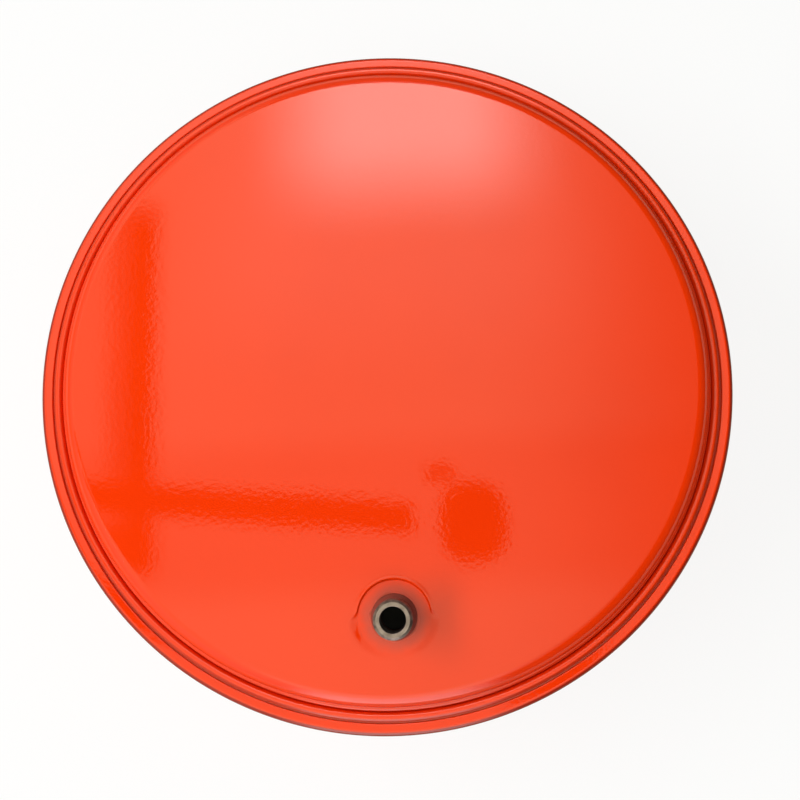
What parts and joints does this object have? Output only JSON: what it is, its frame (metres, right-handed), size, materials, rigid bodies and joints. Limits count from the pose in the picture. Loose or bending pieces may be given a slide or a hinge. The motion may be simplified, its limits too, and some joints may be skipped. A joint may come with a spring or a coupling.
{
  "type": "flat expansion vessel",
  "caption": "Flat round expansion vessel: painted steel half shells clenched at the rim over a rubber diaphragm, with an off-centre threaded water connection and a gas valve at the back.",
  "frame": {"origin": "middle of the flat ring of the gas side that the vessel lies on", "axes": "+Z along the vessel's axis, out of the water side; -Y from the axis towards the water connection"},
  "size_m": [0.325, 0.325, 0.1225],
  "materials": {
    "red_paint": "gloss orange-red stoving enamel with fine orange peel",
    "membrane_rubber": "matt moulded",
    "zinc": "zinc plated, satin",
    "brass": "turned",
    "seal_rubber": "matt",
    "white_plastic": "matt fluoroplastic",
    "steel_pin": "bright drawn",
    "black_plastic": "moulded, satin"
  },
  "bodies": {
    "vessel": {"front_shell": "red_paint", "rear_shell": "red_paint", "clench_ring": "red_paint", "diaphragm": "membrane_rubber", "water_nipple": "zinc", "valve_stem": "brass", "valve_seal": "seal_rubber", "valve_nut": "zinc", "core_barrel": "brass", "core_seal_ring": "white_plastic", "core_spring": "steel_pin"},
    "valve_pin": {"core_pin": "steel_pin", "core_washer": "seal_rubber", "core_cup": "brass"},
    "cap": {"valve_cap": "black_plastic", "cap_washer": "seal_rubber"}
  },
  "joints": [
    {"name": "pin_press", "type": "slide", "parent": "vessel", "child": "valve_pin", "axis": [0, 0, 1], "range_m": [0, 0.001], "stiffness_N_per_m": 1500, "springref_m": -0.001, "deforming": ["core_spring"]},
    {"name": "cap_lift", "type": "slide", "parent": "vessel", "child": "cap", "axis": [0, 0, -1], "range_m": [0, 0.014]}
  ]
}
